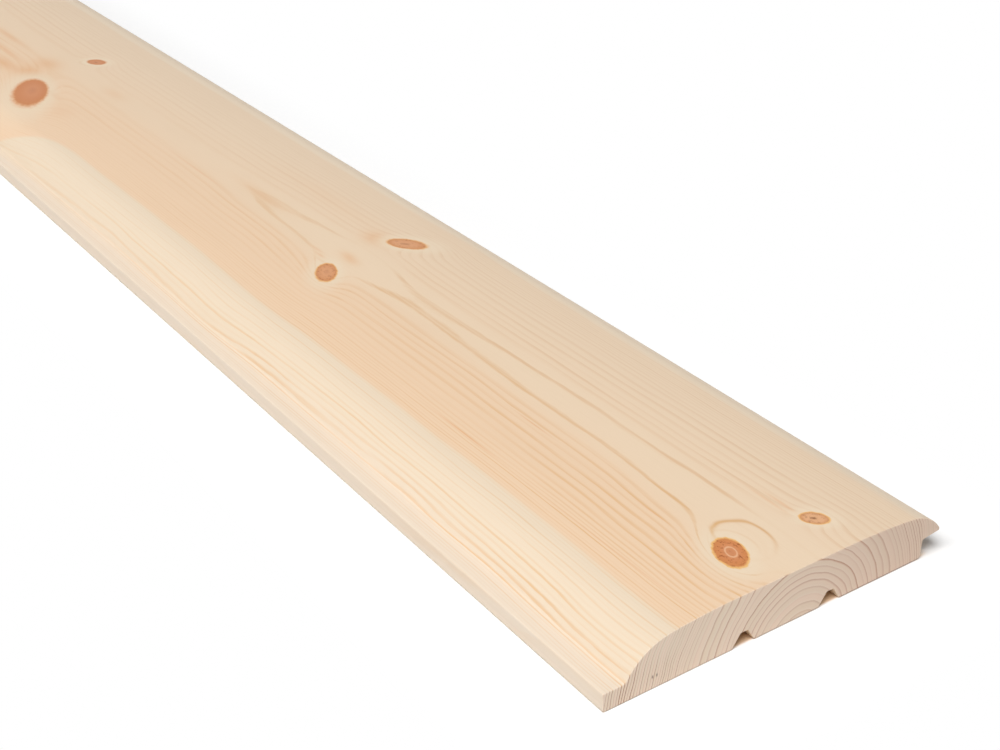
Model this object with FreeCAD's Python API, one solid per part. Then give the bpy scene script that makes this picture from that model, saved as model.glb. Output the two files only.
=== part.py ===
"""Half-lapped softwood board, planed from one piece.

The board lies on its back with its face up and its length along X. A thin lower lip runs along the -Y edge.
An upper lip with a slim tip runs along the +Y edge, over a rebate that takes the next board's lower lip.
The face is flat in the middle and rounds off to both edges. Two relief grooves run along the back.
The origin is at the middle of the back face. Sizes are in millimetres.
"""

import math
import os

import FreeCAD
import Part

Vector = FreeCAD.Vector

# Stock
length = 1800.0
width = 145.0
thickness = 20.0

# Half lap along both edges
lip_thickness = 7.0
lap_width = 8.0
lap_side_gap = 0.3
lap_top_gap = 0.5
underside_rise = 1.0
tip_thickness = 1.0

# Rounding of the face
rounding_width = 43.0
shoulder_radius = 240.0
edge_radius = 21.5

# Relief grooves in the back
groove_mouth = 9.5
groove_floor = 3.0
groove_depth = 5.0
groove_pitch = 37.5
groove_offset = 2.5

# Small radii left by the cutters
toe_radius = 1.5
lip_arris_radius = 0.5
back_arris_radius = 1.0
shoulder_arris_radius = 1.5
rebate_corner_radius = 0.6
tip_arris_radius = 0.3
groove_corner_radius = 0.8

# Places that follow from the sizes above
lip_edge_y = -width / 2
tip_y = width / 2
shoulder_y = tip_y - lap_width
toe_y = lip_edge_y + lap_width + lap_side_gap
rebate_z = lip_thickness + lap_top_gap
tip_underside_z = rebate_z + underside_rise
tip_top_z = tip_underside_z + tip_thickness
groove_centres = [groove_offset - groove_pitch / 2, groove_offset + groove_pitch / 2]


def section_point(y, z):
    """A point of the cross-section, in the plane of the board's end at -X."""
    return Vector(-length / 2, y, z)


def rounded_edge(side, end_y, end_z):
    """Points of the face's rounding on one side: side is -1 towards the lower lip and +1 towards the tip.

    The flat turns into a wide shoulder arc, and that into a tighter edge arc, which ends at the point given.
    Returns the end of the flat, a point on the shoulder arc, where the arcs meet, a point on the edge arc, and the end.
    """
    flat_y = end_y - side * rounding_width
    shoulder_centre = Vector(0, flat_y, thickness - shoulder_radius)
    end = Vector(0, end_y, end_z)
    reach = shoulder_radius - edge_radius
    to_end = end - shoulder_centre
    span = to_end.Length
    along = (reach**2 - edge_radius**2 + span**2) / (2 * span)
    across = math.sqrt(reach**2 - along**2)
    forward = to_end / span
    inward = Vector(0, -side * forward.z, side * forward.y)
    edge_centre = shoulder_centre + forward * along + inward * across
    outward = (edge_centre - shoulder_centre).normalize()
    meeting = shoulder_centre + outward * shoulder_radius
    shoulder_middle = (Vector(0, 0, 1) + outward).normalize() * shoulder_radius + shoulder_centre
    edge_middle = (outward + (end - edge_centre).normalize()).normalize() * edge_radius + edge_centre
    points = [Vector(0, flat_y, thickness), shoulder_middle, meeting, edge_middle, end]
    return [section_point(p.y, p.z) for p in points]


def section_wire():
    """The board's outline with sharp corners, without the grooves in its back."""
    toe_side = rounded_edge(-1, toe_y, lip_thickness)
    tip_side = rounded_edge(+1, tip_y, tip_top_z)
    toe_flat, toe_shoulder, toe_meeting, toe_arc, toe = toe_side
    tip_flat, tip_shoulder, tip_meeting, tip_arc, tip = tip_side
    back_lip = section_point(lip_edge_y, 0)
    back_shoulder = section_point(shoulder_y, 0)
    rebate_corner = section_point(shoulder_y, rebate_z)
    tip_underside = section_point(tip_y, tip_underside_z)
    lip_top = section_point(lip_edge_y, lip_thickness)
    pieces = [
        Part.LineSegment(back_lip, back_shoulder),
        Part.LineSegment(back_shoulder, rebate_corner),
        Part.LineSegment(rebate_corner, tip_underside),
        Part.LineSegment(tip_underside, tip),
        Part.Arc(tip, tip_arc, tip_meeting),
        Part.Arc(tip_meeting, tip_shoulder, tip_flat),
        Part.LineSegment(tip_flat, toe_flat),
        Part.Arc(toe_flat, toe_shoulder, toe_meeting),
        Part.Arc(toe_meeting, toe_arc, toe),
        Part.LineSegment(toe, lip_top),
        Part.LineSegment(lip_top, back_lip),
    ]
    return Part.Wire([piece.toShape() for piece in pieces])


def groove_cutter(centre_y):
    """The wood that one relief groove takes out, with its flanks run on below the back so that the cut is clean."""
    flank = (groove_mouth - groove_floor) / 2 / groove_depth
    below = 1.0
    half_mouth = groove_mouth / 2 + flank * below
    half_floor = groove_floor / 2
    corners = [
        section_point(centre_y - half_mouth, -below),
        section_point(centre_y - half_floor, groove_depth),
        section_point(centre_y + half_floor, groove_depth),
        section_point(centre_y + half_mouth, -below),
    ]
    outline = Part.makePolygon(corners + corners[:1])
    return Part.Face(outline).extrude(Vector(length, 0, 0))


def long_edges(solid, places):
    """The solid's edges along X that pass through the cross-section places given as (y, z)."""
    found = []
    for edge in solid.Edges:
        first, last = edge.Vertexes[0].Point, edge.Vertexes[-1].Point
        if abs(first.x - last.x) < length / 2:
            continue
        if any(math.hypot(first.y - y, first.z - z) < 1e-4 for y, z in places):
            found.append(edge)
    return found


def ease(solid, radius, *places):
    """Rounds the long edges at those places of the cross-section."""
    return solid.makeFillet(radius, long_edges(solid, places))


def make_board():
    board = Part.Face(section_wire()).extrude(Vector(length, 0, 0))
    for centre_y in groove_centres:
        board = board.cut(groove_cutter(centre_y))
    floor_corners = [
        (centre_y + side * groove_floor / 2, groove_depth) for centre_y in groove_centres for side in (-1, 1)
    ]
    board = ease(board, groove_corner_radius, *floor_corners)
    board = ease(board, toe_radius, (toe_y, lip_thickness))
    board = ease(board, lip_arris_radius, (lip_edge_y, lip_thickness))
    board = ease(board, back_arris_radius, (lip_edge_y, 0))
    board = ease(board, shoulder_arris_radius, (shoulder_y, 0))
    board = ease(board, rebate_corner_radius, (shoulder_y, rebate_z))
    board = ease(board, tip_arris_radius, (tip_y, tip_underside_z), (tip_y, tip_top_z))
    return board.removeSplitter().Solids[0]


def main():
    board = make_board()
    os.makedirs("parts", exist_ok=True)
    board.exportStep("parts/board.step")
    box = board.BoundBox
    print("board", board.ShapeType, "valid", board.isValid(), "volume", round(board.Volume), "mm3")
    print("box", [round(v, 3) for v in (box.XMin, box.XMax, box.YMin, box.YMax, box.ZMin, box.ZMax)])


main()
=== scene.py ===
"""A half-lapped pine board, planed from one piece, lying face up on a white floor.

The board is drawn as its cross-section and run out to its length, and its arrises are eased. Its wood is
one solid pattern: growth rings about a pith that runs just under the back, pushed aside by the branches
that grow out of it. So the face, the edges, the back and the sawn ends all show the same rings. Sizes are
in metres, but the tables of the tree's wood are in millimetres.
"""

import math
from collections import namedtuple

import bmesh
import bpy
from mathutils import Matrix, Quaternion, Vector


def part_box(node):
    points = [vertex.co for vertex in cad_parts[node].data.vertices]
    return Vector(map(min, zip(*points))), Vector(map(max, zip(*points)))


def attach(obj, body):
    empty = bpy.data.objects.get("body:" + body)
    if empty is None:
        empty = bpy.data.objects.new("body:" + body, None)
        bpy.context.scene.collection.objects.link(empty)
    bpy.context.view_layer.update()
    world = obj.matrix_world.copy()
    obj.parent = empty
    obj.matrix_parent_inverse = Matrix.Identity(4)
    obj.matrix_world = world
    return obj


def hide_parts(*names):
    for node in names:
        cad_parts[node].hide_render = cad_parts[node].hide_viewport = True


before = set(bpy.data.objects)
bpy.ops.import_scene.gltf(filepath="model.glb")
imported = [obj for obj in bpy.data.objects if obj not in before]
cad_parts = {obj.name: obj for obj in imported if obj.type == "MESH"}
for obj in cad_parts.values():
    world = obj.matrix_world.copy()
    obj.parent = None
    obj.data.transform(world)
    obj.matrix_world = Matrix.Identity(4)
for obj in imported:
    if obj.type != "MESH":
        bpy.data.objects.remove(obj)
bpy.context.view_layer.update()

bl_info = {
    "name": "Half-lapped pine board",
    "version": (1, 0, 0),
    "blender": (4, 5, 0),
    "location": "3D View > Sidebar > Board",
    "description": "Models a planed half-lap board of knotty pine and the stage that it is photographed on",
    "category": "Add Mesh",
}

MM = 0.001
MM_PER_METRE = 1000.0

board_low, board_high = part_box("board")


def srgb(red, green, blue):
    """A colour as it is read off a screen, from 0 to 255, turned into Blender's linear values."""
    return tuple((channel / 255) ** 2.2 for channel in (red, green, blue))


# Sizes and looks that a user would change


def size_property(name, description, default):
    """A length in metres."""
    return bpy.props.FloatProperty(
        name=name, description=description, default=default, unit="LENGTH", precision=4
    )


def number_property(name, description, default):
    """A number that isn't below 0."""
    return bpy.props.FloatProperty(name=name, description=description, default=default, min=0.0)


def place_property(name, description, default):
    """A place in the scene."""
    return bpy.props.FloatVectorProperty(
        name=name, description=description, default=default, subtype="TRANSLATION"
    )


def colour_property(name, description, default):
    """A colour in linear values."""
    return bpy.props.FloatVectorProperty(
        name=name, description=description, default=default, subtype="COLOR", size=3, min=0.0, max=1.0
    )


class BoardSizes(bpy.types.PropertyGroup):
    """The board's cross-section and length."""

    length: size_property("Length", "Length of the board", board_high[0] - board_low[0])
    width: size_property("Width", "Width over both lips", board_high[1] - board_low[1])
    thickness: size_property("Thickness", "Thickness in the middle", board_high[2] - board_low[2])
    lip_thickness: size_property("Lip thickness", "Thickness of the lower lip", 7 * MM)
    lap_width: size_property("Lap width", "How far the boards lap over each other", 8 * MM)
    lap_side_gap: size_property("Lap side gap", "Room beside the next board's tip", 0.3 * MM)
    lap_top_gap: size_property("Lap top gap", "Room over the next board's lip", 0.5 * MM)
    underside_rise: size_property("Underside rise", "How much the rebate opens towards the tip", 1 * MM)
    tip_thickness: size_property("Tip thickness", "Thickness of the upper lip at its tip", 1 * MM)
    rounding_width: size_property("Rounding width", "Width of the rounding on each side", 43 * MM)
    shoulder_radius: size_property("Shoulder radius", "Radius where the rounding leaves the flat", 240 * MM)
    edge_radius: size_property("Edge radius", "Radius at the outside of the rounding", 21.5 * MM)
    groove_mouth: size_property("Groove mouth", "Width of a relief groove at the back face", 9.5 * MM)
    groove_floor: size_property("Groove floor", "Width of a relief groove at its floor", 3 * MM)
    groove_depth: size_property("Groove depth", "Depth of a relief groove", 5 * MM)
    groove_pitch: size_property("Groove pitch", "Distance between the two relief grooves", 37.5 * MM)
    groove_offset: size_property("Groove offset", "How far the grooves are off the middle", 2.5 * MM)
    toe_radius: size_property("Toe radius", "Radius where the rounding meets the lower lip", 1.5 * MM)
    lip_arris: size_property("Lip arris", "Radius of the lower lip's upper arris", 0.5 * MM)
    back_arris: size_property("Back arris", "Radius of the lower lip's back arris", 1 * MM)
    shoulder_arris: size_property("Shoulder arris", "Radius of the rebate's back arris", 1.5 * MM)
    rebate_corner: size_property("Rebate corner", "Radius in the corner of the rebate", 0.6 * MM)
    tip_arris: size_property("Tip arris", "Radius of the tip's two arrises", 0.3 * MM)
    groove_corner: size_property("Groove corner", "Radius in the corners of a relief groove", 0.8 * MM)
    sawn_arris: size_property("Sawn arris", "How much the arris of a sawn end is eased", 0.2 * MM)
    outline_step: size_property("Outline step", "Distance between points of the section", 1.5 * MM)
    length_step: size_property("Length step", "Distance between the sections along the board", 12 * MM)


class PineLook(bpy.types.PropertyGroup):
    """Where the tree's pith runs in the board, and the colours of its wood."""

    pith_side: size_property("Pith side", "Distance of the pith from the lower lip's edge", 80.2 * MM)
    heartwood: size_property("Heartwood", "Radius of the tree's heartwood", 56.2 * MM)
    sapwood_pale: colour_property("Sapwood", "Early wood of the sapwood", srgb(240, 220, 194))
    sapwood_outer: colour_property("Outer sapwood", "Early wood farthest out", srgb(243, 225, 204))
    sapwood_line: colour_property("Sapwood rings", "Late wood of the sapwood", srgb(230, 182, 122))
    heartwood_pale: colour_property("Heartwood", "Early wood of the heartwood", srgb(243, 211, 178))
    heartwood_far: colour_property("Far heartwood", "Early wood beyond the pith", srgb(238, 213, 184))
    heartwood_line: colour_property("Heartwood rings", "Late wood of the heartwood", srgb(226, 174, 110))
    heartwood_line_far: colour_property("Far rings", "Late wood beyond the pith", srgb(212, 168, 124))
    core_pale: colour_property("Core", "Early wood near the pith", srgb(241, 219, 190))
    resin: colour_property("Resin", "Wood that is stained by resin", srgb(226, 160, 96))
    end_pale: colour_property("End grain", "Early wood on the sawn ends", srgb(246, 221, 199))
    end_grey: colour_property("Greyer end grain", "Early wood of some rings", srgb(239, 219, 195))
    end_fresh: colour_property("Start of a ring", "First wood of a ring on the ends", srgb(250, 235, 218))
    # Painted shade: this colour darkens the sawn ends towards the tip
    end_painted_shade: colour_property("Far end grain", "Early wood towards the tip", srgb(216, 186, 166))
    end_line: colour_property("End grain rings", "Late wood on the sawn ends", srgb(166, 88, 44))
    halo: colour_property("Halo", "Clear wood beside a knot", srgb(242, 222, 194))


class StudioLook(bpy.types.PropertyGroup):
    """The lamps, the floor and the camera."""

    sky: number_property("Sky", "Strength of the even light", 0.16)
    lamp: number_property("Lamp", "Power of the large lamp in watts", 190.0)
    lamp_place: place_property("Lamp place", "Where the large lamp stands", (2.05, -1.87, 3.86))
    lamp_size: size_property("Lamp size", "Side of the large square lamp", 2.2)
    floor: colour_property("Floor", "Colour of the floor", (0.84, 0.84, 0.84))
    # Painted shade: the floor under the board is painted this shaded brown
    painted_floor_shade: colour_property("Shaded floor", "Colour of the floor under the board", (0.85, 0.62, 0.42))
    floor_exposure: number_property("Floor exposure", "How bright the camera sees the floor", 1.12)
    # Painted shadow: the camera sees the floor beside the tip this bright
    shadow_exposure: number_property("Shadow exposure", "How bright it is beside the tip", 0.9)
    shadow_reach: size_property("Shadow reach", "How far from the board its shadow fades out", 0.045)
    camera_place: place_property("Camera", "Where the camera stands", (1.1763, -0.3052, 0.3158))
    camera_aim: place_property("Aim", "The point of the floor it looks at", (0.7152, 0.0202, 0.0))
    camera_roll: bpy.props.FloatProperty(
        name="Roll", description="How far it is rolled", default=math.radians(0.35), subtype="ANGLE"
    )
    lens: number_property("Lens", "Focal length in mm on a 36 mm frame", 57.03)


# Modelling

# Points that lie nearer to each other than this are one point
SAME_POINT = 0.01 * MM

# A straight edge of the cross-section is divided where it is longer than this many steps
LONG_EDGE = 1.6

# Number of edges that a rounded corner is drawn in
CORNER_EDGES = 4

# Faces that meet at less than this angle are shaded as one smooth surface
SMOOTH_ANGLE = math.radians(35)


def clear_selection():
    """Leaves nothing selected, so that the next operator acts on its own piece alone."""
    bpy.ops.object.select_all(action="DESELECT")


def finish_place(piece):
    """Puts the piece's place, turn and size into its mesh, with its object at the origin."""
    clear_selection()
    piece.select_set(True)
    bpy.context.view_layer.objects.active = piece
    bpy.ops.object.transform_apply(location=True, rotation=True, scale=True)


class OutlinePen:
    """Draws the cross-section as a chain of vertices, in edit mode, in a plane across the board."""

    def __init__(self, x, y, z, step):
        clear_selection()
        bpy.ops.mesh.primitive_plane_add(size=step, location=(x, y, z))
        self.piece = bpy.context.object
        bpy.ops.object.transform_apply(location=True)
        bpy.ops.object.mode_set(mode="EDIT")
        bpy.ops.mesh.select_mode(type="VERT")
        bpy.ops.mesh.select_all(action="SELECT")
        bpy.ops.mesh.merge(type="CENTER")
        self.x = x
        self.at = Vector((y, z))
        self.step = step

    def line_to(self, y, z):
        """A straight run, drawn as one edge."""
        move = Vector((y, z)) - self.at
        bpy.ops.mesh.extrude_region_move(TRANSFORM_OT_translate={"value": (0.0, move.x, move.y)})
        self.at = Vector((y, z))

    def arc_to(self, centre, y, z):
        """An arc about the centre, drawn in edges of about the step."""
        start = self.at - centre
        end = Vector((y, z)) - centre
        angle = math.atan2(start.x * end.y - start.y * end.x, start.dot(end))
        edges = max(2, round(abs(angle) * start.length / self.step))
        middle = (self.x, centre.x, centre.y)
        bpy.ops.mesh.spin(
            steps=edges, angle=angle, center=middle, axis=(-1, 0, 0), use_auto_merge=False
        )
        self.at = Vector((y, z))

    def close(self):
        """Joins the last vertex to the first and fills the outline."""
        bpy.ops.mesh.select_all(action="SELECT")
        bpy.ops.mesh.remove_doubles(threshold=SAME_POINT)
        bpy.ops.mesh.edge_face_add()
        return self.piece


def rounding_of_face(sizes, side, end):
    """The two arcs that round the face off on one side, from the flat to the point where they end.

    The side is -1 towards the lower lip and +1 towards the tip. Returns the centre of the edge arc, the
    point where the two arcs meet, the centre of the shoulder arc and the end of the flat.
    """
    flat = Vector((end.x - side * sizes.rounding_width, sizes.thickness))
    shoulder_centre = flat - Vector((0, sizes.shoulder_radius))
    reach = sizes.shoulder_radius - sizes.edge_radius
    to_end = end - shoulder_centre
    span = to_end.length
    along = (reach**2 - sizes.edge_radius**2 + span**2) / (2 * span)
    across = math.sqrt(reach**2 - along**2)
    forward = to_end / span
    inward = Vector((-side * forward.y, side * forward.x))
    edge_centre = shoulder_centre + forward * along + inward * across
    meeting = shoulder_centre + (edge_centre - shoulder_centre).normalized() * sizes.shoulder_radius
    return edge_centre, meeting, shoulder_centre, flat


def ease_corner(piece, y, z, radius):
    """Rounds the corner of the flat cross-section that is nearest to the place to the radius."""
    mesh = bmesh.from_edit_mesh(piece.data)
    bpy.ops.mesh.select_all(action="DESELECT")
    place = Vector((y, z))
    corner = min(mesh.verts, key=lambda vertex: (vertex.co.yz - place).length)
    corner.select = True
    first, second = [edge.other_vert(corner).co - corner.co for edge in corner.link_edges]
    turn = math.pi - first.angle(second)
    mesh.select_flush_mode()
    bmesh.update_edit_mesh(piece.data)
    offset = radius * math.tan(turn / 2)
    bpy.ops.mesh.bevel(offset=offset, segments=CORNER_EDGES, affect="VERTICES", profile=0.5)


def divide_long_edges(piece, step):
    """Splits each long straight edge of the cross-section into even lengths of about the step."""
    while True:
        mesh = bmesh.from_edit_mesh(piece.data)
        long_edges = [edge for edge in mesh.edges if edge.calc_length() > LONG_EDGE * step]
        if not long_edges:
            return
        bpy.ops.mesh.select_all(action="DESELECT")
        edge = long_edges[0]
        pieces = round(edge.calc_length() / step)
        edge.select = True
        for vertex in edge.verts:
            vertex.select = True
        mesh.select_flush_mode()
        bmesh.update_edit_mesh(piece.data)
        bpy.ops.mesh.subdivide(number_cuts=pieces - 1)


def draw_cross_section(sizes):
    """The board's cross-section at its -X end, corners eased, as one flat face in edit mode."""
    edge = sizes.width / 2
    shoulder_y = edge - sizes.lap_width
    toe_y = -edge + sizes.lap_width + sizes.lap_side_gap
    rebate_z = sizes.lip_thickness + sizes.lap_top_gap
    underside_z = rebate_z + sizes.underside_rise
    tip_z = underside_z + sizes.tip_thickness
    tip = rounding_of_face(sizes, +1, Vector((edge, tip_z)))
    toe = rounding_of_face(sizes, -1, Vector((toe_y, sizes.lip_thickness)))
    half_mouth = sizes.groove_mouth / 2
    half_floor = sizes.groove_floor / 2
    grooves = [sizes.groove_offset + side * sizes.groove_pitch / 2 for side in (-1, 1)]

    pen = OutlinePen(-sizes.length / 2, -edge, 0.0, sizes.outline_step)
    for middle in grooves:
        pen.line_to(middle - half_mouth, 0.0)
        pen.line_to(middle - half_floor, sizes.groove_depth)
        pen.line_to(middle + half_floor, sizes.groove_depth)
        pen.line_to(middle + half_mouth, 0.0)
    pen.line_to(shoulder_y, 0.0)
    pen.line_to(shoulder_y, rebate_z)
    pen.line_to(edge, underside_z)
    pen.line_to(edge, tip_z)
    edge_centre, meeting, shoulder_centre, flat = tip
    pen.arc_to(edge_centre, *meeting)
    pen.arc_to(shoulder_centre, *flat)
    edge_centre, meeting, shoulder_centre, flat = toe
    pen.line_to(*flat)
    pen.arc_to(shoulder_centre, *meeting)
    pen.arc_to(edge_centre, toe_y, sizes.lip_thickness)
    pen.line_to(-edge, sizes.lip_thickness)
    pen.line_to(-edge, 0.0)
    piece = pen.close()

    corners = []
    for middle in grooves:
        for side in (-1, 1):
            corners.append((middle + side * half_floor, sizes.groove_depth, sizes.groove_corner))
    corners += [
        (toe_y, sizes.lip_thickness, sizes.toe_radius),
        (-edge, sizes.lip_thickness, sizes.lip_arris),
        (-edge, 0.0, sizes.back_arris),
        (shoulder_y, 0.0, sizes.shoulder_arris),
        (shoulder_y, rebate_z, sizes.rebate_corner),
        (edge, underside_z, sizes.tip_arris),
        (edge, tip_z, sizes.tip_arris),
    ]
    for y, z, radius in corners:
        ease_corner(piece, y, z, radius)
    divide_long_edges(piece, sizes.outline_step)
    return piece


def run_out(piece, length, step):
    """Runs the flat cross-section out to the board's length, and divides that into even steps."""
    bpy.ops.mesh.select_all(action="SELECT")
    bpy.ops.mesh.extrude_region_move(TRANSFORM_OT_translate={"value": (length, 0.0, 0.0)})
    mesh = bmesh.from_edit_mesh(piece.data)
    bpy.ops.mesh.select_all(action="DESELECT")
    for edge in mesh.edges:
        start, end = edge.verts
        if abs(start.co.x - end.co.x) > length / 2:
            edge.select = True
    bmesh.update_edit_mesh(piece.data)
    bpy.ops.mesh.subdivide(number_cuts=round(length / step) - 1)
    bpy.ops.mesh.select_all(action="SELECT")
    bpy.ops.mesh.normals_make_consistent(inside=False)


def ease_sawn_ends(piece, sizes):
    """Takes the sharpness off the arrises of both sawn ends."""
    mesh = bmesh.from_edit_mesh(piece.data)
    bpy.ops.mesh.select_all(action="DESELECT")
    limit = sizes.length / 2 - SAME_POINT
    for edge in mesh.edges:
        if all(abs(vertex.co.x) > limit for vertex in edge.verts):
            edge.select = True
    mesh.select_flush_mode()
    bmesh.update_edit_mesh(piece.data)
    bpy.ops.mesh.bevel(offset=sizes.sawn_arris, segments=1, affect="EDGES", clamp_overlap=False)


def make_board(sizes):
    """The board's shape, as one mesh."""
    piece = draw_cross_section(sizes)
    bpy.ops.mesh.select_mode(type="EDGE")
    run_out(piece, sizes.length, sizes.length_step)
    ease_sawn_ends(piece, sizes)
    bpy.ops.object.mode_set(mode="OBJECT")
    finish_place(piece)
    bpy.ops.object.shade_smooth_by_angle(angle=SMOOTH_ANGLE)
    piece.name = "planed_board"
    return piece


# Shader maths


class Value:
    """An output of a node. Arithmetic on it adds Math nodes, so that shader maths reads as expressions."""

    def __init__(self, nodes, socket):
        self.nodes = nodes
        self.socket = socket

    def __add__(self, other):
        return self.nodes.math("ADD", self, other)

    __radd__ = __add__

    def __sub__(self, other):
        return self.nodes.math("SUBTRACT", self, other)

    def __rsub__(self, other):
        return self.nodes.math("SUBTRACT", other, self)

    def __mul__(self, other):
        return self.nodes.math("MULTIPLY", self, other)

    __rmul__ = __mul__

    def __truediv__(self, other):
        return self.nodes.math("DIVIDE", self, other)

    def __rtruediv__(self, other):
        return self.nodes.math("DIVIDE", other, self)

    def __abs__(self):
        return self.nodes.math("ABSOLUTE", self)


class Nodes:
    """The node tree of one material."""

    def __init__(self, tree):
        self.tree = tree

    def add(self, kind, settings, sockets, output=0):
        """Adds any node: its settings first, then its sockets' values or links. Returns one output."""
        node = self.tree.nodes.new(kind)
        for name, setting in settings.items():
            if name == "stops":
                self.set_stops(node.color_ramp, setting)
            elif name == "interpolation":
                node.color_ramp.interpolation = setting
            else:
                setattr(node, name, setting)
        for name, value in sockets.items():
            self.fill(node.inputs[name], value)
        return Value(self, node.outputs[output])

    def set_stops(self, ramp, stops):
        """Gives a ramp its stops: each is a position and a colour, or a position and a number."""
        while len(ramp.elements) < len(stops):
            ramp.elements.new(1.0)
        for element, (position, stop) in zip(ramp.elements, stops):
            element.position = position
            element.color = (stop, stop, stop, 1.0) if isinstance(stop, float) else (*stop, 1.0)

    def fill(self, socket, value):
        """Links a socket to a value of the tree, or sets it to a number, a vector or a colour."""
        if isinstance(value, Value):
            self.tree.links.new(value.socket, socket)
        elif socket.type == "RGBA" and len(value) == 3:
            socket.default_value = (*value, 1.0)
        else:
            socket.default_value = value

    def math(self, operation, *values):
        return self.add("ShaderNodeMath", {"operation": operation}, dict(enumerate(values)))

    def vector(self, operation, *values):
        output = "Value" if operation in ("DOT_PRODUCT", "LENGTH", "DISTANCE") else "Vector"
        return self.add("ShaderNodeVectorMath", {"operation": operation}, dict(enumerate(values)), output)

    def smooth(self, value, start, end):
        """0 up to the start, 1 from the end, and a smooth step between them."""
        sockets = {"Value": value, "From Min": start, "From Max": end}
        return self.add("ShaderNodeMapRange", {"interpolation_type": "SMOOTHSTEP"}, sockets)

    def band(self, value, start, full, fade, end):
        """0 up to the start, 1 from full to fade and 0 from the end, with smooth steps between them."""
        return self.smooth(value, start, full) * (1.0 - self.smooth(value, fade, end))

    def mix(self, factor, first, second):
        """The first colour, turned into the second as the factor goes from 0 to 1."""
        return self.add("ShaderNodeMix", {"data_type": "RGBA"}, {0: factor, 6: first, 7: second}, 2)

    def mix_shaders(self, factor, first, second):
        """The first shader, turned into the second as the factor goes from 0 to 1."""
        return self.add("ShaderNodeMixShader", {}, {0: factor, 1: first, 2: second})

    def ramp(self, value, stops, interpolation="LINEAR"):
        """A colour or a number that goes from stop to stop as the value goes from 0 to 1."""
        settings = {"stops": stops, "interpolation": interpolation}
        return self.add("ShaderNodeValToRGB", settings, {"Fac": value}, "Color")

    def noise(self, place, detail, roughness=0.5):
        """Noise from 0 to 1, whose waves are about as long as the place's unit."""
        sockets = {"Vector": place, "Scale": 1.0, "Detail": detail, "Roughness": roughness}
        return self.add("ShaderNodeTexNoise", {}, sockets, "Fac")

    def stretch(self, place, x, y, z):
        """The place with each direction multiplied, so that a pattern runs long or short that way."""
        return self.vector("MULTIPLY", place, (x, y, z))


# The tree

# A branch, where its middle meets the face: its place from the near end and from the lower lip's edge, its
# radius there, and how far it leans towards the near end and towards the tip for each millimetre that it
# rises, in millimetres. Then how pale its wood is, how soft its border is and how much its middle is split,
# from 0 to 1.
Branch = namedtuple("Branch", "from_end from_lip radius along across pale soft split")

BRANCHES = (
    Branch(19.2, 66.5, 5.5, 1.12, -0.40, 0.0, 0.0, 0.0),
    Branch(17.8, 101.8, 3.6, 0.77, 0.71, 0.8, 0.1, 1.0),
    Branch(272.8, 62.9, 5.0, 1.42, -0.85, 0.4, 0.3, 0.0),
    Branch(278.2, 106.2, 5.1, 1.35, 0.95, 0.5, 0.5, 0.3),
    Branch(571.3, 43.6, 9.9, 1.95, -0.85, 0.1, 1.0, 0.0),
    Branch(598.8, 92.6, 4.1, 0.95, 0.42, 0.2, 1.0, 0.4),
    Branch(845.0, 58.0, 6.0, 1.10, -0.80, 0.1, 0.2, 0.0),
    Branch(852.0, 112.0, 4.2, 1.20, 1.05, 0.6, 0.3, 0.6),
    Branch(1118.0, 70.5, 4.4, 1.10, -0.40, 0.4, 0.2, 0.3),
    Branch(1126.0, 103.0, 6.4, 1.05, 0.80, 0.0, 0.1, 0.0),
    Branch(1392.0, 49.0, 7.2, 1.25, -1.10, 0.2, 0.4, 0.2),
    Branch(1401.0, 98.0, 3.4, 1.00, 0.60, 0.8, 0.1, 0.9),
    Branch(1668.0, 64.0, 4.0, 1.15, -0.60, 0.5, 0.3, 0.4),
    Branch(1675.0, 110.0, 5.6, 1.20, 1.05, 0.1, 0.1, 0.0),
)

# The stem is thicker where a ring of branches leaves it. In millimetres: place from the near end, extra
# radius and reach.
Whorl = namedtuple("Whorl", "from_end swelling reach")

WHORLS = (
    Whorl(12.0, 1.8, 36.0),
    Whorl(279.0, 1.1, 30.0),
    Whorl(850.0, 2.4, 38.0),
    Whorl(1123.0, 2.2, 36.0),
    Whorl(1397.0, 2.6, 40.0),
    Whorl(1672.0, 2.0, 34.0),
)

# Depth of the pith under the face, along the board from the near end, in millimetres
PITH_DEPTHS = (
    (0.0, 26.8),
    (32.0, 26.0),
    (64.0, 24.9),
    (130.0, 24.9),
    (200.0, 25.4),
    (300.0, 25.4),
    (335.0, 25.6),
    (360.0, 25.9),
    (378.0, 26.5),
    (400.0, 26.9),
    (450.0, 26.9),
    (560.0, 27.4),
    (620.0, 27.5),
    (760.0, 25.6),
    (1000.0, 27.0),
    (1250.0, 25.0),
    (1500.0, 27.2),
    (1800.0, 25.0),
)

# The depth that stands for 1 in the ramp that holds the pith's depths
DEEPEST_PITH = 30.0

# Depth of the pith under the face that the branches are measured with
USUAL_PITH_DEPTH = 25.5

# The share of a branch's radius at the face that grows with its distance from the pith
BRANCH_TAPER = 0.82

# How far the rings bulge out along a dark branch, in radii of the branch, and the share that a pale one
# lacks
BRANCH_BULGE = 1.5
PALE_LACK = 0.6

# How fast the bulge and the looks of a branch fall away with the square of the distance from its axis
BULGE_FALL = 0.35
LOOKS_FALL = 0.05

# A spot of the board: its place from the near end and from the lower lip's edge, its half length and half
# width, in millimetres, and an amount
Spot = namedtuple("Spot", "from_end from_lip long wide amount")

# Low rises of the rings beside large branches, with how far they push the rings out in millimetres
RISES = (
    Spot(48.0, 60.0, 22.0, 16.0, 1.2),
    Spot(290.0, 54.0, 26.0, 12.0, 1.2),
    Spot(1140.0, 112.0, 46.0, 15.0, 4.0),
    Spot(1405.0, 42.0, 44.0, 16.0, 3.4),
)

# Rings that only just reach the face beside a branch, where they show as loops that are open towards the
# near end, with their strength
LOOPS = (
    Spot(21.5, 75.0, 12.6, 8.4, 0.85),
    Spot(21.0, 70.5, 9.6, 6.0, 0.25),
    Spot(1122.0, 91.0, 14.0, 9.0, 0.6),
)

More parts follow.
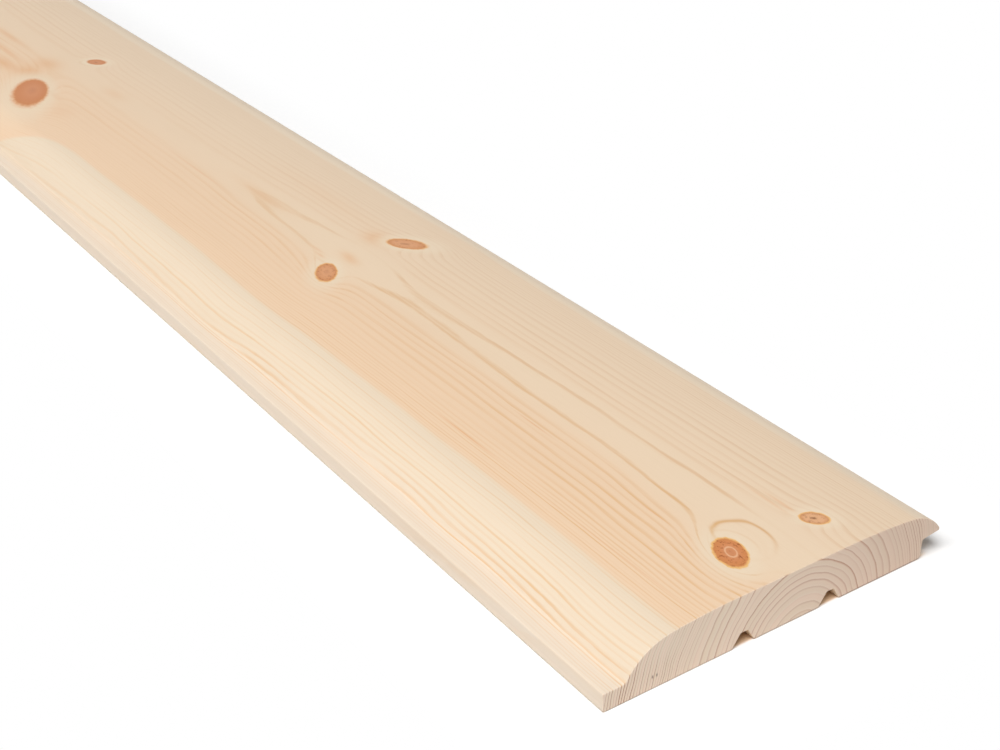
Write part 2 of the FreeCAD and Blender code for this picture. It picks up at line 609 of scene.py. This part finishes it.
# The width of a loop's line and how much it wavers, in sizes of the loop
LOOP_LINE = 0.075
LOOP_WAVER = 0.5

# The stretch along a loop, in its half lengths, where its line fades in from the open side
LOOP_START = (-1.1, 0.1)

# The loops show on the face alone: they fade in between these heights in millimetres
LOOP_HEIGHTS = (6.0, 14.0)

# One way in which the rings waver: its waves in a millimetre along the board and across it, and how far it
# moves the rings in millimetres
Waver = namedtuple("Waver", "along across push")

WANDER = Waver(0.006, 0.03, 2.0)
RIPPLE = Waver(0.022, 0.12, 1.1)
TREMBLE = Waver(0.16, 0.9, 0.2)

# How far the pith moves towards the lower lip for each millimetre away from the near end
PITH_DRIFT = 0.004

# The number of rings up to a distance from the pith in millimetres: the tree grew fast at first, then slowly
RING_COUNTS = (
    (0.0, 0.0),
    (10.0, 2.75),
    (20.0, 6.38),
    (26.2, 9.0),
    (28.9, 10.0),
    (30.8, 11.0),
    (32.8, 12.0),
    (35.4, 13.0),
    (44.0, 16.0),
    (47.4, 18.0),
    (50.0, 20.3),
    (55.0, 25.0),
    (60.0, 29.6),
    (90.0, 56.0),
)

# Rings whose late wood is darker than the others', by their number from the pith
DARK_RINGS = (6, 7, 9, 11, 13, 21, 37, 39, 40, 41)

# Soft orange stains of resin, with their strength
STAINS = (
    Spot(128.0, 37.3, 16.0, 0.35, 1.0),
    Spot(40.0, 36.6, 34.0, 0.3, 0.5),
    Spot(119.0, 61.2, 9.0, 0.35, 0.8),
    Spot(51.0, 60.4, 7.0, 0.35, 0.7),
    Spot(30.0, 99.4, 8.0, 0.7, 0.55),
    Spot(34.0, 96.8, 9.0, 0.6, 0.45),
    Spot(276.5, 77.2, 5.5, 2.6, 0.42),
    Spot(282.0, 78.8, 5.5, 2.6, 0.42),
    Spot(290.5, 98.5, 8.0, 5.5, 0.62),
    Spot(340.0, 104.0, 46.0, 6.0, 0.14),
    Spot(282.5, 66.6, 4.5, 0.8, 0.6),
    Spot(289.0, 69.0, 4.5, 0.8, 0.5),
    Spot(295.5, 71.0, 5.0, 0.8, 0.4),
    Spot(365.0, 79.5, 24.0, 3.6, 0.32),
    Spot(412.0, 68.0, 26.0, 0.6, 0.4),
    Spot(540.0, 79.0, 12.0, 4.0, 0.3),
    Spot(604.0, 54.0, 12.0, 6.0, 0.75),
    Spot(612.0, 68.0, 12.0, 7.0, 0.6),
    Spot(628.0, 47.5, 16.0, 4.5, 0.75),
    Spot(558.0, 50.5, 9.0, 2.0, 0.4),
    Spot(652.0, 57.0, 30.0, 1.8, 0.6),
    Spot(678.0, 68.5, 24.0, 2.4, 0.5),
    Spot(530.0, 44.0, 10.0, 7.0, 0.2),
)


class Tree:
    """The solid wood that the board is cut from, as values in a node tree. Places are in millimetres."""

    def __init__(self, nodes, sizes, wood):
        self.nodes = nodes
        self.length = sizes.length * MM_PER_METRE
        self.width = sizes.width * MM_PER_METRE
        self.face = sizes.thickness * MM_PER_METRE
        self.pith_y = self.across(wood.pith_side * MM_PER_METRE)
        self.heart_radius = wood.heartwood * MM_PER_METRE
        place = nodes.add("ShaderNodeTexCoord", {}, {}, "Object")
        self.place = nodes.vector("MULTIPLY", place, (MM_PER_METRE,) * 3)
        self.x, self.y, self.z = [self.part(axis, self.place) for axis in "XYZ"]
        self.from_end = self.length / 2 - self.x
        self.from_pith = self.distance_from_pith()
        self.follow_branches()
        self.count_rings()

    def across(self, from_lip):
        """The Y of a place that is given by its distance from the lower lip's edge."""
        return from_lip - self.width / 2

    def part(self, axis, vector):
        return self.nodes.add("ShaderNodeSeparateXYZ", {}, {"Vector": vector}, axis)

    def noise(self, along, across, detail, roughness=0.5):
        """Noise from 0 to 1, with its number of waves in a millimetre along the board and across it."""
        return self.nodes.noise(self.nodes.stretch(self.place, along, across, across), detail, roughness)

    def bell(self, *parts):
        """1 in the middle and less all round. Each part is a distance from the middle over its reach."""
        total = parts[0] * parts[0]
        for part in parts[1:]:
            total = self.nodes.math("MULTIPLY_ADD", part, part, total)
        return self.nodes.math("EXPONENT", total * -1.0)

    def bell_at(self, spot):
        """1 at a spot of the board, falling away along it and across it."""
        along = (self.from_end - spot.from_end) / spot.long
        return self.bell(along, (self.y - self.across(spot.from_lip)) / spot.wide)

    def distance_from_pith(self):
        """Distance from the pith, whose depth wanders a little along the board."""
        stops = [(at / self.length, depth / DEEPEST_PITH) for at, depth in PITH_DEPTHS]
        depth = self.nodes.ramp(self.from_end / self.length, stops, "B_SPLINE") * DEEPEST_PITH
        up = self.z - self.face + depth
        across = self.y - self.pith_y + self.from_end * PITH_DRIFT
        return self.nodes.math("SQRT", up * up + across * across)

    def off_branch(self, branch):
        """The distance from a branch's axis in the branch's radii, squared, and the branch's radius."""
        nodes = self.nodes
        y = self.across(branch.from_lip)
        middle = (self.length / 2 - branch.from_end, y, self.face)
        way = Vector((branch.along, branch.across, 1.0)).normalized()
        side = way.cross(Vector((0, 0, 1))).normalized()
        away = nodes.vector("SUBTRACT", self.place, middle)
        first = nodes.vector("DOT_PRODUCT", away, side)
        second = nodes.vector("DOT_PRODUCT", away, way.cross(side))
        off_axis = nodes.math("MULTIPLY_ADD", first, first, second * second)
        reach = math.hypot(y - self.pith_y, USUAL_PITH_DEPTH)
        grown = BRANCH_TAPER * branch.radius / reach
        at_pith = (1.0 - BRANCH_TAPER) * branch.radius
        radius = nodes.math("MULTIPLY_ADD", self.from_pith, grown, at_pith)
        return off_axis / (radius * radius), radius

    def follow_branches(self):
        """How near each place is to the branches, how they push the rings out, and their looks.

        The knot is 0 in the middle of the nearest knot and 1 at its border. The bulge is how far the rings
        are pushed out along the branches. The looks are those of the branches near by.
        """
        nodes = self.nodes
        nearest = 100.0
        bulge = 0.0
        looks = (0.0, 0.0, 0.0)
        for branch in BRANCHES:
            ratio, radius = self.off_branch(branch)
            nearest = nodes.math("MINIMUM", ratio, nearest)
            push = nodes.math("EXPONENT", ratio * -BULGE_FALL)
            most = BRANCH_BULGE * (1.0 - PALE_LACK * branch.pale)
            bulge = nodes.math("MULTIPLY_ADD", push * radius, most, bulge)
            look = (branch.pale, branch.soft, branch.split)
            near = nodes.math("EXPONENT", ratio * -LOOKS_FALL)
            looks = nodes.vector("MULTIPLY_ADD", near, look, looks)
        self.knot = nodes.math("SQRT", nearest)
        self.bulge = bulge
        self.pale, self.soft, self.split = [self.part(axis, looks) for axis in "XYZ"]

    def waver(self, way):
        """Slow noise about 0, for one way in which the rings waver."""
        return self.noise(way.along, way.across, 1.0) - 0.5

    def count_rings(self):
        """The number of rings from the pith, whose whole numbers are the ends of the late wood."""
        self.ripple = self.waver(RIPPLE)
        radius = self.from_pith - self.bulge - self.waver(WANDER) * WANDER.push
        radius = radius - self.ripple * RIPPLE.push - self.waver(TREMBLE) * TREMBLE.push
        self.at_whorl = 0.0
        for whorl in WHORLS:
            near = self.bell((self.from_end - whorl.from_end) / whorl.reach)
            radius = radius - whorl.swelling * near
            self.at_whorl = self.at_whorl + near
        for rise in RISES:
            radius = radius - rise.amount * self.bell_at(rise)
        self.radius = radius
        widest, most = RING_COUNTS[-1]
        stops = [(at / widest, count / most) for at, count in RING_COUNTS]
        self.rings = self.nodes.ramp(radius / widest, stops) * most

    def loops(self):
        """How clearly the loops show at each place, from 0 to 1."""
        nodes = self.nodes
        total = 0.0
        for loop in LOOPS:
            along = (self.from_end - loop.from_end) / loop.long
            across = (self.y - self.across(loop.from_lip)) / loop.wide
            ratio = nodes.math("SQRT", along * along + across * across) + self.ripple * LOOP_WAVER
            line = self.bell((ratio - 1.0) / LOOP_LINE)
            total = total + line * nodes.smooth(along, *LOOP_START) * loop.amount
        return total * nodes.smooth(self.z, *LOOP_HEIGHTS)

    def stains(self):
        """How strongly resin stains each place, from 0 to 1."""
        total = 0.0
        for stain in STAINS:
            total = total + self.bell_at(stain) * stain.amount
        return self.nodes.math("MINIMUM", total, 1.0)


# Colours of a dark knot and of a pale one, from the middle at 0 to the border at 1
DARK_KNOT = (
    (0.0, srgb(208, 138, 96)),
    (0.34, srgb(216, 144, 98)),
    (0.60, srgb(212, 136, 86)),
    (0.85, srgb(210, 136, 82)),
    (1.0, srgb(234, 170, 116)),
)
PALE_KNOT = (
    (0.0, srgb(216, 162, 120)),
    (0.30, srgb(234, 184, 140)),
    (0.60, srgb(234, 184, 140)),
    (0.85, srgb(216, 158, 110)),
    (1.0, srgb(236, 188, 138)),
)

# Colours inside a knot: where its border is soft, of its speckles, of the pale circle round its middle, of
# a split middle, and of the golden rim
SOFT_KNOT = srgb(176, 104, 72)
SPECKLE = srgb(140, 70, 32)
PALE_CIRCLE = srgb(240, 190, 150)
SPLIT_WOOD = srgb(134, 90, 58)
GOLDEN_RIM = srgb(246, 198, 124)

# Colours of the thin fibres and of the broad clouds that vary the wood, as linear values
FIBRE_BROWN = (0.55, 0.36, 0.18)
CLOUD_BROWN = (0.62, 0.40, 0.22)

# Distances from the pith, in millimetres, where the core ends, the rings get narrow and the palest sapwood
# begins, and half the width of the border between heartwood and sapwood
CORE_BORDER = (24.0, 30.0)
NARROW_RINGS = (46.0, 54.0)
OUTERMOST_SAPWOOD = (68.0, 75.0)
HEART_BORDER = 1.2

# Beside the largest knot the heartwood reaches farther out, towards the lower lip
HEART_REACH = Spot(582.0, 12.0, 56.0, 30.0, 24.0)

# How dark the late wood of a ring is on a planed face: at least, at most by chance, and added in a dark
# ring. Each is given for a wide ring and for a narrow one.
LEAST_LINE = (0.24, 0.05)
CHANCE_LINE = (0.26, 0.38)
DARK_LINE = (0.18, 0.28)

# Where in a ring its late wood begins, in the core and outside it, and where that changes, in millimetres
# from the pith. Then where it is full grown and where it begins to end.
LATE_START = (0.7, 0.4)
LATE_START_CHANGE = (25.5, 29.0)
LATE_FULL = 0.83
LATE_FADE = 0.9

# The same in the finer rings of a sawn end
SAWN_LATE_WOOD = (0.62, 0.93, 0.95)

# Where the rings are fainter on the face: the middle of that stretch from the near end and its reach, in
# millimetres
FAINT_STRETCH = 520.0
FAINT_REACH = 260.0

# A band along the board where they are fainter too: its middle from the lower lip's edge, its reach, and
# where it begins, in millimetres
CALM_BAND = 46.0
CALM_REACH = 7.5
CALM_START = (70.0, 130.0)

# Beside a whorl the rings are clear of lines up to this distance from the pith's line, in millimetres
CLEAR_BORDER = (11.0, 19.0)

# The rings are duller in a spot of the sawn end, above these heights, and plain at the tip, in millimetres
DULL_SPOT = Spot(0.0, 24.0, 300.0, 10.0, 0.7)
DULL_HEIGHTS = (6.0, 14.0)
PLAIN_TIP = (62.0, 66.0)

# Painted contact shadow along the back arris of the sawn end, where it meets the floor: it darkens the end
# up to these heights, more towards the tip, in millimetres
PAINTED_CONTACT_HEIGHTS = (0.15, 0.55)
PAINTED_CONTACT_SHADE = srgb(120, 78, 52)

# Two short checks in the sawn near end, in millimetres: their distances from the lower lip's edge, their
# height over the back, and their half width and half height
END_CHECKS = (19.0, 20.7)
END_CHECK_HEIGHT = 4.7
END_CHECK_SIZE = (0.3, 0.6)
CHECK_SHADE = srgb(110, 74, 56)


def between(pair, share):
    """The first number of the pair, moved towards the second by the share."""
    first, second = pair
    return first + (second - first) * share


class PineColours:
    """The colours of the tree's wood on a planed face, on a sawn end and in a knot."""

    def __init__(self, nodes, tree, wood):
        self.nodes = nodes
        self.tree = tree
        self.wood = wood
        self.ring = nodes.math("FRACT", tree.rings)
        self.rate_rings()

    def rate_rings(self):
        """How dark the late wood of each ring is: by chance, and more in the dark rings."""
        nodes = self.nodes
        number = nodes.math("FLOOR", self.tree.rings)
        settings = {"noise_dimensions": "1D"}
        self.chance = nodes.add("ShaderNodeTexWhiteNoise", settings, {"W": number + 0.37}, "Value")
        self.dark = 0.0
        for ring in DARK_RINGS:
            self.dark = self.dark + nodes.math("COMPARE", number, ring - 1.0, 0.5)
        narrow = nodes.smooth(self.tree.radius, *NARROW_RINGS)
        by_chance = between(CHANCE_LINE, narrow) * self.chance * self.chance
        self.strength = between(LEAST_LINE, narrow) + by_chance + between(DARK_LINE, narrow) * self.dark

    def planed(self):
        """Wood cut along the grain: heartwood and sapwood, with their rings and stains."""
        nodes, tree, wood = self.nodes, self.tree, self.wood
        outward = tree.radius - HEART_REACH.amount * tree.bell_at(HEART_REACH)
        sapwood = nodes.smooth(outward, tree.heart_radius - HEART_BORDER, tree.heart_radius + HEART_BORDER)
        far = nodes.smooth(tree.y, -25.0, 40.0)
        early = nodes.mix(sapwood, self.early_heartwood(far), self.early_sapwood())
        late = nodes.mix(far, wood.heartwood_line, wood.heartwood_line_far)
        late = nodes.mix(sapwood, late, wood.sapwood_line)
        self.line = nodes.math("MAXIMUM", self.planed_lines(far), tree.loops())
        return nodes.mix(tree.stains() * 0.6, nodes.mix(self.line, early, late), wood.resin)

    def early_heartwood(self, far):
        """Early wood of the heartwood: greyer on the far side of the pith, and paler in the core."""
        nodes, wood = self.nodes, self.wood
        core = 1.0 - nodes.smooth(self.tree.radius, *CORE_BORDER)
        heart = nodes.mix(far, wood.heartwood_pale, wood.heartwood_far)
        return nodes.mix(core * 0.5, heart, wood.core_pale)

    def early_sapwood(self):
        """Early wood of the sapwood, which is palest farthest out."""
        outermost = self.nodes.smooth(self.tree.radius, *OUTERMOST_SAPWOOD)
        return self.nodes.mix(outermost, self.wood.sapwood_pale, self.wood.sapwood_outer)

    def planed_lines(self, far):
        """How clearly the late wood shows on a planed face, from 0 to 1."""
        nodes, tree = self.nodes, self.tree
        fade = tree.noise(0.014, 0.5, 2.0)
        faint = tree.bell((tree.from_end - FAINT_STRETCH) / FAINT_REACH)
        calm = tree.bell((tree.y - tree.across(CALM_BAND)) / CALM_REACH)
        calm = calm * nodes.smooth(tree.from_end, *CALM_START)
        shown = nodes.smooth(fade, 0.1, 0.7) * (1.3 - 0.85 * faint) * (1.0 - 0.65 * calm)
        shown = shown * (1.15 - 0.5 * far)
        middle = 1.0 - nodes.smooth(abs(tree.y - tree.pith_y), *CLEAR_BORDER)
        clear = nodes.smooth(tree.at_whorl, 0.3, 0.9) * middle
        start = between(LATE_START, nodes.smooth(tree.radius, *LATE_START_CHANGE))
        late_wood = nodes.band(self.ring, start, LATE_FULL, LATE_FADE, 1.0)
        return late_wood * self.strength * shown * (1.0 - 0.9 * clear)

    def sawn(self):
        """End grain: duller wood with finer rings, a painted contact shadow along the back arris and two
        short checks.
        """
        nodes, tree = self.nodes, self.tree
        outer = nodes.smooth(tree.radius, 44.0, 60.0)
        colour = nodes.mix(self.sawn_lines(outer), self.sawn_early(outer), self.wood.end_line)
        # Painted contact shadow along the back arris, more towards the tip
        painted_contact_mask = (1.0 - nodes.smooth(tree.z, *PAINTED_CONTACT_HEIGHTS)) * nodes.smooth(tree.y, -40.0, 50.0)
        colour = nodes.mix(painted_contact_mask * 0.7, colour, PAINTED_CONTACT_SHADE)
        near_end = nodes.smooth(tree.x, 0.0, 1.0)
        wide, high = END_CHECK_SIZE
        for from_lip in END_CHECKS:
            across = (tree.y - tree.across(from_lip)) / wide
            check = tree.bell(across, (tree.z - END_CHECK_HEIGHT) / high)
            colour = nodes.mix(check * near_end * 0.8, colour, CHECK_SHADE)
        return colour

    def sawn_early(self, outer):
        """Early wood on a sawn end: palest where a ring starts, with painted shade that darkens it towards
        the tip.
        """
        nodes, wood = self.nodes, self.wood
        tint = nodes.mix(self.chance, wood.end_pale, wood.end_grey)
        fresh = 1.0 - nodes.smooth(self.ring, 0.0, 0.4)
        tint = nodes.mix(fresh * (0.3 + 0.4 * outer), tint, wood.end_fresh)
        # Painted shade, darker towards the tip
        shade = nodes.smooth(self.tree.y, -40.0, 60.0)
        return nodes.mix(shade * 0.5, tint, wood.end_painted_shade)

    def sawn_lines(self, outer):
        """How clearly the late wood shows on a sawn end: more towards the bark, from 0 to 1."""
        nodes, tree = self.nodes, self.tree
        rated = 0.12 + 0.45 * self.chance * self.chance + 0.4 * self.dark
        rated = rated * nodes.smooth(tree.radius, -20.0, 32.0)
        start, full, fade = SAWN_LATE_WOOD
        late_wood = nodes.band(self.ring, start, full, fade, 1.0)
        amount = late_wood * (rated * (0.8 + 0.5 * outer) + 0.12 * outer)
        dull = tree.bell_at(DULL_SPOT) * nodes.smooth(tree.z, *DULL_HEIGHTS)
        plain_tip = nodes.smooth(tree.y, *PLAIN_TIP)
        return amount * (1.0 - DULL_SPOT.amount * dull) * (1.0 - 0.8 * plain_tip)

    def knot(self, border):
        """The inside of a knot, where the border is 0 in its middle and 1 at its edge.

        A dark knot has speckles, a pale circle round its middle and a golden rim, and a split one a star.
        """
        nodes, tree = self.nodes, self.tree
        hard = 1.0 - tree.soft
        inside = nodes.mix(tree.pale, nodes.ramp(border, DARK_KNOT), nodes.ramp(border, PALE_KNOT))
        inside = nodes.mix(tree.soft * 0.22, inside, SOFT_KNOT)
        speckle = tree.noise(0.55, 0.7, 4.0, 0.7)
        outer = nodes.band(border, 0.36, 0.5, 0.84, 0.92)
        speckled = nodes.smooth(speckle, 0.5, 0.66) * hard * (0.85 - 0.5 * tree.pale)
        inside = nodes.mix(speckled * (0.35 + 0.65 * outer), inside, SPECKLE)
        circle = nodes.band(border, 0.24, 0.3, 0.33, 0.39) * hard
        circle = circle * (1.0 - nodes.smooth(tree.pale, 0.05, 0.3))
        inside = nodes.mix(circle * 0.7, inside, PALE_CIRCLE)
        star = 1.0 - nodes.smooth(border * 1.5 + speckle * 1.2, 0.72, 1.0)
        inside = nodes.mix(star * tree.split * 0.8, inside, SPLIT_WOOD)
        rim = nodes.smooth(border, 0.86, 0.97) * hard
        return nodes.mix(rim * 0.75, inside, GOLDEN_RIM)

    def with_knots(self, colour, sawn):
        """The colour with the knots set in it, each in a halo of clear wood where the wood is planed."""
        nodes, tree = self.nodes, self.tree
        border = tree.knot * (0.9 + 0.2 * tree.noise(0.35, 0.6, 3.0))
        halo = (1.0 - nodes.smooth(border, 1.1, 2.1)) * (1.0 - sawn)
        colour = nodes.mix(halo * 0.6, colour, self.wood.halo)
        outside = nodes.smooth(border, 0.96 - 0.12 * tree.soft, 1.06 + 0.1 * tree.soft)
        return nodes.mix(1.0 - outside, colour, self.knot(border))


def saw_marks(nodes, tree):
    """The fine slanting scores that the saw left on an end, from 0 to 1."""
    along = nodes.stretch(tree.place, 0.0, 0.94, 0.34)
    across = nodes.stretch(tree.place, 0.0, -0.34, 0.94)
    slant = nodes.vector("ADD", nodes.stretch(along, 0.0, 1.6, 1.6), nodes.stretch(across, 0.0, 0.06, 0.06))
    return nodes.noise(slant, 3.0)


def pine_material(sizes, wood):
    """Planed pine, all over the board."""
    material = bpy.data.materials.new("planed_pine")
    material.use_nodes = True
    nodes = Nodes(material.node_tree)
    tree = Tree(nodes, sizes, wood)
    colours = PineColours(nodes, tree, wood)
    normal = nodes.add("ShaderNodeNewGeometry", {}, {}, "Normal")
    sawn = nodes.smooth(abs(tree.part("X", normal)), 0.5, 0.9)
    fibre = tree.noise(0.05, 2.6, 3.0)
    cloud = tree.noise(0.012, 0.06, 2.0)

    colour = nodes.mix(sawn, colours.planed(), colours.sawn())
    colour = nodes.mix((fibre - 0.5) * 0.24, colour, FIBRE_BROWN)
    colour = nodes.mix((cloud - 0.5) * 0.14, colour, CLOUD_BROWN)
    shader = material.node_tree.nodes["Principled BSDF"]
    nodes.fill(shader.inputs["Base Color"], colours.with_knots(colour, sawn))
    nodes.fill(shader.inputs["Roughness"], 0.5 - 0.08 * colours.line)
    nodes.fill(shader.inputs["Specular IOR Level"], 0.2)
    relief = fibre * (1.0 - sawn) + saw_marks(nodes, tree) * sawn
    sockets = {"Strength": 0.5, "Distance": 0.05 * MM, "Height": relief}
    nodes.fill(shader.inputs["Normal"], nodes.add("ShaderNodeBump", {}, sockets, "Normal"))
    return material


# The stage

WHITE = (1.0, 1.0, 1.0)

# The floor is a square of this side, just so far under the board that the two don't share a plane
FLOOR_SIDE = 12.0
FLOOR_DROP = 0.25 * MM

# Painted shadow beside the tip, where the floor is painted darker: the distances inward from the tip at
# which that fades in and out, and those from the ends at which it fades in
TIP_SHADOW = (-14 * MM, -4 * MM, 9 * MM, 12 * MM)
TIP_SHADOW_ENDS = (-3 * MM, 2 * MM)

# Painted shade: the floor is painted in the board's own shade from these distances inward from its ends, its
# tip and its lower lip
SHADE_FROM_END = (0.0, 1.5 * MM)
SHADE_FROM_TIP = (2 * MM, 9 * MM)
SHADE_FROM_LIP = (1 * MM, 5 * MM)

# The width of the camera's frame in millimetres
SENSOR_WIDTH = 36.0


def seen_ray(nodes):
    """1 for a ray from the camera, straight or by way of a mirror or glass, and 0 for bounced light."""
    names = ("Is Camera Ray", "Is Glossy Ray", "Is Transmission Ray")
    camera, glossy, clear = [nodes.add("ShaderNodeLightPath", {}, {}, name) for name in names]
    return nodes.math("MINIMUM", camera + glossy + clear, 1.0)


def measure_floor(nodes):
    """Distances on the floor: outwards from the board's outline, and inward from its ends, lip and tip."""
    place = nodes.add("ShaderNodeTexCoord", {}, {}, "Object")
    half_size = (board_high[0], board_high[1], 1.0)
    inward = nodes.vector("SUBTRACT", half_size, nodes.vector("ABSOLUTE", place))
    outside = nodes.vector("LENGTH", nodes.vector("MINIMUM", inward, (0.0, 0.0, 0.0)))
    from_end = nodes.add("ShaderNodeSeparateXYZ", {}, {"Vector": inward}, "X")
    y = nodes.add("ShaderNodeSeparateXYZ", {}, {"Vector": place}, "Y")
    return outside, from_end, y - board_low[1], board_high[1] - y


def paper_of(nodes, colour):
    """Plain paper of a colour, which may be brighter than real paper."""
    return nodes.add("ShaderNodeBsdfDiffuse", {}, {"Color": colour})


def floor_surface(nodes, look):
    """White paper, which the camera sees as plain white beyond the reach of the board's shadow, with painted
    shade under the board and a painted shadow beside the tip.
    """
    outside, from_end, from_lip, from_tip = measure_floor(nodes)
    exposed = paper_of(nodes, (look.floor_exposure,) * 3)
    shadowed = paper_of(nodes, (look.shadow_exposure,) * 3)
    # Painted shadow beside the tip
    beside_tip = nodes.band(from_tip, *TIP_SHADOW) * nodes.smooth(from_end, *TIP_SHADOW_ENDS)
    seen = nodes.mix_shaders(beside_tip, exposed, shadowed)
    white = nodes.add("ShaderNodeEmission", {}, {"Color": WHITE, "Strength": 1.0})
    seen = nodes.mix_shaders(nodes.smooth(outside, 0.1 * look.shadow_reach, look.shadow_reach), seen, white)
    surface = nodes.mix_shaders(seen_ray(nodes), paper_of(nodes, look.floor), seen)
    # Painted shade under the board, in the brown of light bounced off the wood
    under = nodes.smooth(from_end, *SHADE_FROM_END) * nodes.smooth(from_tip, *SHADE_FROM_TIP)
    under = under * nodes.smooth(from_lip, *SHADE_FROM_LIP)
    return nodes.mix_shaders(under, surface, paper_of(nodes, look.painted_floor_shade))


def make_floor(look):
    """A floor of white paper, which keeps the board's shadow."""
    clear_selection()
    bpy.ops.mesh.primitive_plane_add(size=FLOOR_SIDE, location=(0.0, 0.0, -FLOOR_DROP))
    floor = bpy.context.object
    floor.name = "floor"
    finish_place(floor)
    material = bpy.data.materials.new("white_floor")
    material.use_nodes = True
    nodes = Nodes(material.node_tree)
    output = material.node_tree.nodes["Material Output"]
    nodes.fill(output.inputs["Surface"], floor_surface(nodes, look))
    floor.data.materials.append(material)
    return floor


def light_room(look):
    """Even light from all round, plain white where it is seen, and a large lamp over the near end."""
    world = bpy.data.worlds.new("white_room")
    bpy.context.scene.world = world
    world.use_nodes = True
    nodes = Nodes(world.node_tree)
    background = world.node_tree.nodes["Background"]
    nodes.fill(background.inputs["Color"], WHITE)
    nodes.fill(background.inputs["Strength"], look.sky + (1.0 - look.sky) * seen_ray(nodes))
    clear_selection()
    aim = Vector(look.camera_aim) - Vector(look.lamp_place)
    turn = aim.to_track_quat("-Z", "Y").to_euler()
    bpy.ops.object.light_add(type="AREA", location=look.lamp_place, rotation=turn)
    lamp = bpy.context.object
    lamp.name = "large_lamp"
    lamp.data.shape = "SQUARE"
    lamp.data.size = look.lamp_size
    lamp.data.energy = look.lamp


def place_camera(look):
    """The camera of the photograph."""
    aim = Vector(look.camera_aim) - Vector(look.camera_place)
    turn = aim.to_track_quat("-Z", "Y") @ Quaternion((0, 0, 1), look.camera_roll)
    clear_selection()
    bpy.ops.object.camera_add(location=look.camera_place, rotation=turn.to_euler())
    camera = bpy.context.object
    camera.data.lens = look.lens
    camera.data.sensor_width = SENSOR_WIDTH
    camera.data.clip_start = 0.01
    bpy.context.scene.camera = camera


class HALFLAP_OT_add_board(bpy.types.Operator):
    """Model the board, give it its pine and stand it in for the plain solid"""

    bl_idname = "halflap.add_board"
    bl_label = "Add Board"

    def execute(self, context):
        scene = context.scene
        piece = make_board(scene.halflap_sizes)
        piece.data.materials.append(pine_material(scene.halflap_sizes, scene.halflap_pine))
        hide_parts("board")
        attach(piece, "root")
        return {"FINISHED"}


class HALFLAP_OT_add_stage(bpy.types.Operator):
    """Add the white floor, the lamps and the camera"""

    bl_idname = "halflap.add_stage"
    bl_label = "Add Stage"

    def execute(self, context):
        look = context.scene.halflap_studio
        make_floor(look)
        light_room(look)
        place_camera(look)
        context.scene.view_settings.view_transform = "Standard"
        return {"FINISHED"}


class HALFLAP_PT_sidebar(bpy.types.Panel):
    """The steps in order, and the values that they use"""

    bl_idname = "HALFLAP_PT_sidebar"
    bl_label = "Half-lapped board"
    bl_space_type = "VIEW_3D"
    bl_region_type = "UI"
    bl_category = "Board"

    def draw(self, context):
        for operator in (HALFLAP_OT_add_board, HALFLAP_OT_add_stage):
            self.layout.operator(operator.bl_idname)
        scene = context.scene
        for group in (scene.halflap_sizes, scene.halflap_pine, scene.halflap_studio):
            box = self.layout.box()
            for name in group.__annotations__:
                box.prop(group, name)


CLASSES = (BoardSizes, PineLook, StudioLook, HALFLAP_OT_add_board, HALFLAP_OT_add_stage, HALFLAP_PT_sidebar)


def register():
    for cls in CLASSES:
        bpy.utils.register_class(cls)
    bpy.types.Scene.halflap_sizes = bpy.props.PointerProperty(type=BoardSizes)
    bpy.types.Scene.halflap_pine = bpy.props.PointerProperty(type=PineLook)
    bpy.types.Scene.halflap_studio = bpy.props.PointerProperty(type=StudioLook)


def unregister():
    del bpy.types.Scene.halflap_studio
    del bpy.types.Scene.halflap_pine
    del bpy.types.Scene.halflap_sizes
    for cls in reversed(CLASSES):
        bpy.utils.unregister_class(cls)


def main():
    register()
    bpy.ops.halflap.add_board()
    bpy.ops.halflap.add_stage()


if __name__ == "__main__":
    main()
